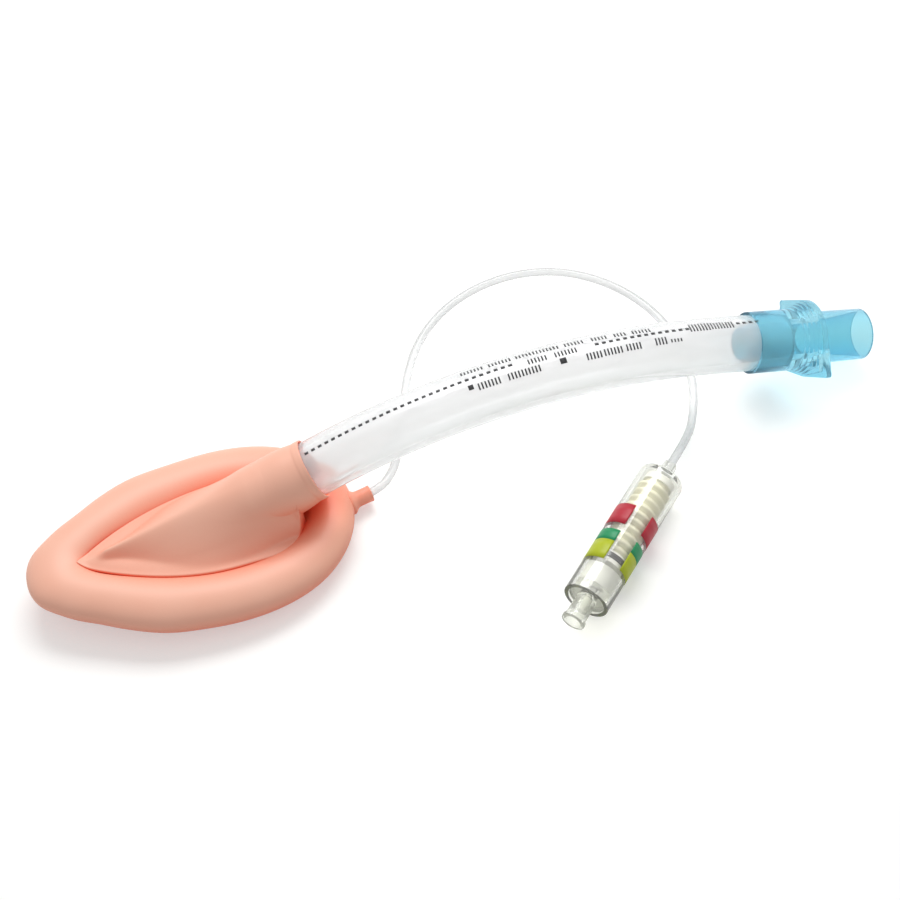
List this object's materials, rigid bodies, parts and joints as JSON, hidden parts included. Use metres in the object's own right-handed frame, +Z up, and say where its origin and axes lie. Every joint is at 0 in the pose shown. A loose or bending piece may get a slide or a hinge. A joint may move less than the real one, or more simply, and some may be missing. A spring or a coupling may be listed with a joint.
{
  "type": "laryngeal mask airway",
  "caption": "Curved clear airway tube with an inflatable soft mask, a circuit connector and an inflation line that ends in a bellows pressure indicator with a check valve.",
  "frame": {"origin": "on the table under the middle of the mask, tube and connector, which lie bowl down", "axes": "+X from the mask's tip towards the circuit connector, +Y to the far side of the picture, +Z up from the table"},
  "size_m": [0.255, 0.137, 0.0401],
  "materials": {
    "mask_silicone": "satin",
    "clear_tube": "gloss",
    "blue_connector": "gloss",
    "clear_line": "gloss",
    "clear_pilot": "gloss",
    "clamp_plastic": "gloss",
    "ivory_bellows": "satin",
    "white_head": "gloss",
    "black_ring": "matte",
    "cap_plastic": "gloss",
    "valve_plastic": "gloss",
    "spring_steel": "bright",
    "seal_rubber": "matte"
  },
  "bodies": {
    "airway": {"mask_cuff": "mask_silicone", "mask_backplate": "mask_silicone", "airway_tube": "clear_tube", "circuit_connector": "blue_connector", "inflation_line": "clear_line", "pilot_barrel": "clear_pilot", "bellows_clamp": "clamp_plastic", "pressure_bellows": "ivory_bellows", "pilot_end_cap": "cap_plastic", "valve_cage": "valve_plastic", "valve_spring": "spring_steel"},
    "indicator": {"indicator_head": "white_head", "indicator_ring": "black_ring"},
    "plunger": {"valve_plunger": "valve_plastic", "valve_seal": "seal_rubber"}
  },
  "joints": [
    {"name": "indicator_slide", "type": "slide", "parent": "airway", "child": "indicator", "axis": [0.742, 0.6704, 0], "range_m": [0, 0.018], "stiffness_N_per_m": 45, "deforming": ["pressure_bellows"]},
    {"name": "valve_plunger_slide", "type": "slide", "parent": "airway", "child": "plunger", "axis": [0.742, 0.6704, 0], "range_m": [0, 0.0012], "stiffness_N_per_m": 400, "springref_m": -0.0005, "deforming": ["valve_spring"]}
  ]
}
